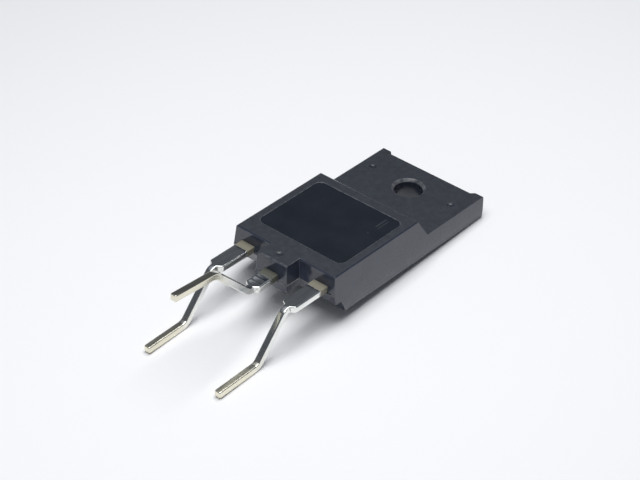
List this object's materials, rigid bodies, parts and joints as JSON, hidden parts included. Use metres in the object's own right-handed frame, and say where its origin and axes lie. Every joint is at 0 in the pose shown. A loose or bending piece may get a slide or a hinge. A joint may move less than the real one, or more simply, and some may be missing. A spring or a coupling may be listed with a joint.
{
  "type": "power transistor",
  "caption": "Flat fully moulded power transistor with a screw tab, a sunk marking panel and formed leads for a circuit board.",
  "frame": {"origin": "middle of the screw hole on the flat back face", "axes": "+Z out of the marked face along the screw, +Y from the lead end to the tab, +X to the right with the leads pointing at the reader"},
  "size_m": [0.0154, 0.045, 0.0117],
  "materials": {
    "moulding": "matt dark grey filled epoxy, with a glossy sunk marking panel",
    "tinned_copper": "tinned copper strip, bare beside the case",
    "solder": "dull solder",
    "silicon": "polished silicon",
    "bond_wire": "drawn aluminium wire"
  },
  "bodies": {
    "root": {"moulded_case": "moulding", "collector_frame": "tinned_copper", "base_lead": "tinned_copper", "emitter_lead": "tinned_copper", "die_solder": "solder", "silicon_die": "silicon", "base_wire": "bond_wire", "emitter_wire_inner": "bond_wire", "emitter_wire_outer": "bond_wire"}
  },
  "joints": []
}
